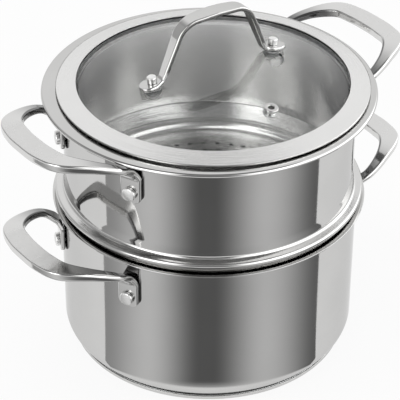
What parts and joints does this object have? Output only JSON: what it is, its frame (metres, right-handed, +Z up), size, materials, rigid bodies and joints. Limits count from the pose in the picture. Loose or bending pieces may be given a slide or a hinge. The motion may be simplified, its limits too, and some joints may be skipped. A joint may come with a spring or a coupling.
{
  "type": "two-tier steamer pot",
  "caption": "Two-tier stainless steamer pot: a deep pot with a sandwich base, a perforated steamer insert and a domed glass lid with a strap handle.",
  "frame": {"origin": "on the pot's axis, at the flat underside of the base", "axes": "+Z up along the pot's axis, X along the line through the side handles, +Y away from the side of the lid with the steam vent"},
  "size_m": [0.2998, 0.2218, 0.2448],
  "materials": {
    "polished_steel": "mirror-polished stainless steel",
    "satin_steel": "finely brushed stainless steel",
    "core_aluminium": "plain, sealed between steel",
    "clear_glass": "clear, polished",
    "silicone": "matt"
  },
  "bodies": {
    "pot": {"pot_shell": "polished_steel", "pot_base_core": "core_aluminium", "pot_base_cap": "satin_steel", "pot_handle_right": "polished_steel", "pot_handle_left": "polished_steel", "pot_rivet_left_front": "polished_steel", "pot_rivet_left_back": "polished_steel", "pot_rivet_right_front": "polished_steel", "pot_rivet_right_back": "polished_steel"},
    "steamer": {"steamer_wall": "polished_steel", "steamer_floor": "satin_steel", "steamer_handle_right": "polished_steel", "steamer_handle_left": "polished_steel", "steamer_rivet_left_front": "polished_steel", "steamer_rivet_left_back": "polished_steel", "steamer_rivet_right_front": "polished_steel", "steamer_rivet_right_back": "polished_steel"},
    "lid": {"lid_glass": "clear_glass", "lid_band": "satin_steel", "lid_gasket": "silicone", "lid_handle": "polished_steel", "lid_vent_eyelet": "polished_steel", "lid_rivet_left": "polished_steel", "lid_washer_upper_left": "silicone", "lid_washer_lower_left": "silicone", "lid_rivet_right": "polished_steel", "lid_washer_upper_right": "silicone", "lid_washer_lower_right": "silicone"}
  },
  "joints": [
    {"name": "steamer_lift", "type": "slide", "parent": "pot", "child": "steamer", "axis": [0, 0, 1], "range_m": [0, 0.15]},
    {"name": "lid_lift", "type": "slide", "parent": "steamer", "child": "lid", "axis": [0, 0, 1], "range_m": [0, 0.15]}
  ]
}
